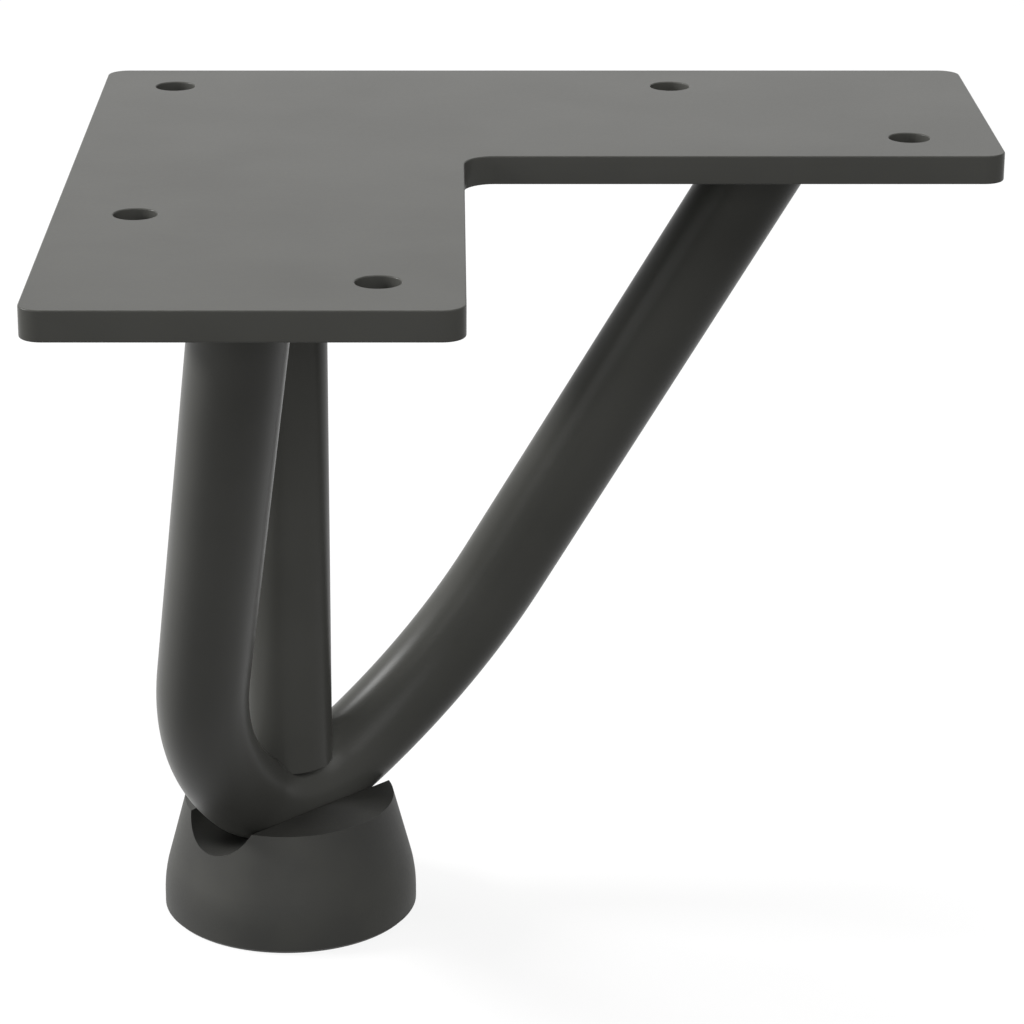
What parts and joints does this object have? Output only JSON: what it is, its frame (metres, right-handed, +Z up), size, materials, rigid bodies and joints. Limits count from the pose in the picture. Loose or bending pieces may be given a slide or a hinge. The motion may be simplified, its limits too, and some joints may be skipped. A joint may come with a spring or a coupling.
{
  "type": "hairpin table leg",
  "caption": "Short hairpin furniture leg: a bent rod and an upright corner rod under an L-shaped screw-on plate, with a grooved round foot at the bend.",
  "frame": {"origin": "centre of the foot's flat base, on the floor, straight below the middle of the plate's corner square", "axes": "+Z up, from the floor to the plate's top face; +X along the right arm of the plate; +Y towards the back, so the front arm runs along -Y"},
  "size_m": [0.096, 0.096, 0.094],
  "materials": {
    "powder_coat": "satin",
    "foot_plastic": "matte"
  },
  "bodies": {
    "root": {"mounting_plate": "powder_coat", "hairpin_rod": "powder_coat", "corner_rod": "powder_coat", "foot": "foot_plastic", "weld_front": "powder_coat", "weld_right": "powder_coat", "weld_corner": "powder_coat"}
  },
  "joints": []
}
